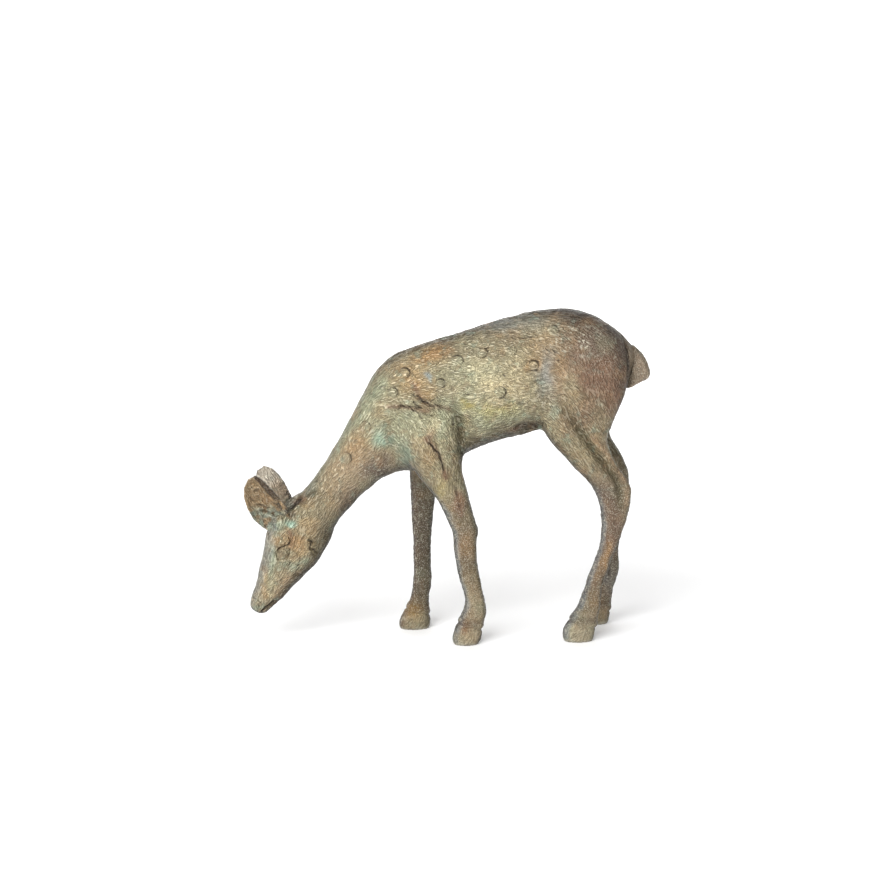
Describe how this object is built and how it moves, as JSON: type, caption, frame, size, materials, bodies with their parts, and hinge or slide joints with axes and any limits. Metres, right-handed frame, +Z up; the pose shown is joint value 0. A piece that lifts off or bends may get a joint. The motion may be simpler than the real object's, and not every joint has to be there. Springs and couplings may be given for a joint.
{
  "type": "bronze animal statuette",
  "caption": "Grazing fawn in patinated bronze, standing free on its hooves with its head lowered to the ground, assembled from hollow and solid castings.",
  "frame": {"origin": "middle of the overall footprint, on the surface that the hooves stand on", "axes": "+X from the muzzle towards the tail, +Y towards the fawn's right side, +Z up"},
  "size_m": [0.2359, 0.0476, 0.197],
  "materials": {
    "patinated_bronze": "patinated, finely textured, satin",
    "bronze_fixings": "plain cut bronze"
  },
  "bodies": {
    "root": {"torso_casting": "patinated_bronze", "neck_casting": "patinated_bronze", "head_casting": "patinated_bronze", "tail_casting": "patinated_bronze", "left_ear": "patinated_bronze", "right_ear": "patinated_bronze", "left_foreleg": "patinated_bronze", "right_foreleg": "patinated_bronze", "left_hind_leg": "patinated_bronze", "right_hind_leg": "patinated_bronze", "left_foreleg_pin": "bronze_fixings", "right_foreleg_pin": "bronze_fixings", "left_hind_leg_pin": "bronze_fixings", "right_hind_leg_pin": "bronze_fixings", "neck_base_pin_left": "bronze_fixings", "neck_base_pin_right": "bronze_fixings", "throat_pin_left": "bronze_fixings", "throat_pin_right": "bronze_fixings", "belly_core_plug": "bronze_fixings", "left_flank_plug": "bronze_fixings", "right_flank_plug": "bronze_fixings", "back_plug": "bronze_fixings", "chest_plug": "bronze_fixings"}
  },
  "joints": []
}
